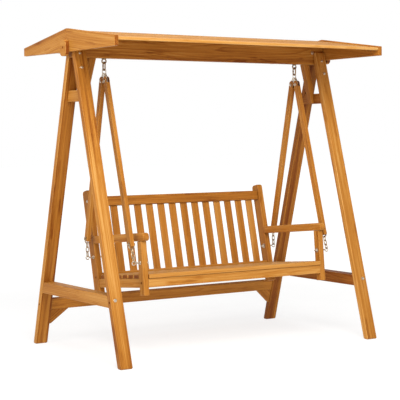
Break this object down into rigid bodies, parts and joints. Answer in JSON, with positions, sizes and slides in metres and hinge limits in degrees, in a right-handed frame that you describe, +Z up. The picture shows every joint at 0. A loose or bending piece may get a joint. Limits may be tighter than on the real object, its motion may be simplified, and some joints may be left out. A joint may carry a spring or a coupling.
{
  "type": "canopy swing bench",
  "caption": "Timber two-seat garden swing bench hung on steel links and wooden bars from the beam of two A-frames, under a low pitched boarded roof.",
  "frame": {"origin": "centre of the footprint on the floor, under the middle of the ridge beam", "axes": "+X along the bench and the ridge beam, +Y towards the back of the bench (a sitter faces -Y), +Z up"},
  "size_m": [1.8832, 1.112, 1.85],
  "materials": {
    "oiled_timber": "oiled hardwood, satin",
    "zinc_plated_steel": "bright zinc plate"
  },
  "bodies": {
    "frame": {"beam_eye_bolt_left": "zinc_plated_steel", "beam_eye_bolt_right": "zinc_plated_steel", "gable_cleat_left": "oiled_timber", "gable_cleat_right": "oiled_timber", "gable_front_left": "oiled_timber", "gable_front_right": "oiled_timber", "gable_rear_left": "oiled_timber", "gable_rear_right": "oiled_timber", "knee_brace_left": "oiled_timber", "knee_brace_right": "oiled_timber", "leg_front_left": "oiled_timber", "leg_front_right": "oiled_timber", "leg_rear_left": "oiled_timber", "leg_rear_right": "oiled_timber", "lower_side_rail_left": "oiled_timber", "lower_side_rail_right": "oiled_timber", "rear_stretcher": "oiled_timber", "ridge_beam": "oiled_timber", "roof_boards_front": "oiled_timber", "roof_boards_rear": "oiled_timber", "stretcher_gusset_left": "oiled_timber", "stretcher_gusset_right": "oiled_timber", "upper_cross_rail_left": "oiled_timber", "upper_cross_rail_right": "oiled_timber"},
    "link_left": {"upper_link_left": "zinc_plated_steel"},
    "link_right": {"upper_link_right": "zinc_plated_steel"},
    "swing": {"armrest_left": "oiled_timber", "armrest_right": "oiled_timber", "back_post_left": "oiled_timber", "back_post_right": "oiled_timber", "backrest": "oiled_timber", "bar_front_left": "oiled_timber", "bar_front_right": "oiled_timber", "bar_rear_left": "oiled_timber", "bar_rear_right": "oiled_timber", "bar_yoke_left": "zinc_plated_steel", "bar_yoke_right": "zinc_plated_steel", "chain_front_left": "zinc_plated_steel", "chain_front_right": "zinc_plated_steel", "chain_rear_left": "zinc_plated_steel", "chain_rear_right": "zinc_plated_steel", "front_post_left": "oiled_timber", "front_post_right": "oiled_timber", "post_eye_bolt_front_left": "zinc_plated_steel", "post_eye_bolt_front_right": "zinc_plated_steel", "post_eye_bolt_rear_left": "zinc_plated_steel", "post_eye_bolt_rear_right": "zinc_plated_steel", "seat_front_rail": "oiled_timber", "seat_rear_rail": "oiled_timber", "seat_side_rail_left": "oiled_timber", "seat_side_rail_right": "oiled_timber", "seat_slat_1": "oiled_timber", "seat_slat_2": "oiled_timber", "seat_slat_3": "oiled_timber", "seat_slat_4": "oiled_timber", "seat_slat_5": "oiled_timber", "seat_slat_6": "oiled_timber", "seat_slat_7": "oiled_timber", "seat_slat_8": "oiled_timber"}
  },
  "joints": [
    {"name": "left_link_on_eye_bolt", "type": "hinge", "parent": "frame", "child": "link_left", "pos_m": [-0.68, 0, 1.66], "axis": [1, 0, 0], "range_deg": [-20, 20]},
    {"name": "right_link_on_eye_bolt", "type": "hinge", "parent": "frame", "child": "link_right", "pos_m": [0.68, 0, 1.66], "axis": [1, 0, 0], "range_deg": [-20, 20]},
    {"name": "swing_on_links", "type": "hinge", "parent": "link_left", "child": "swing", "pos_m": [-0.68, 0, 1.6274], "axis": [1, 0, 0], "range_deg": [-8, 8]}
  ],
  "couplings": [
    {"joint": "right_link_on_eye_bolt", "follows": "left_link_on_eye_bolt", "ratio": 1}
  ]
}
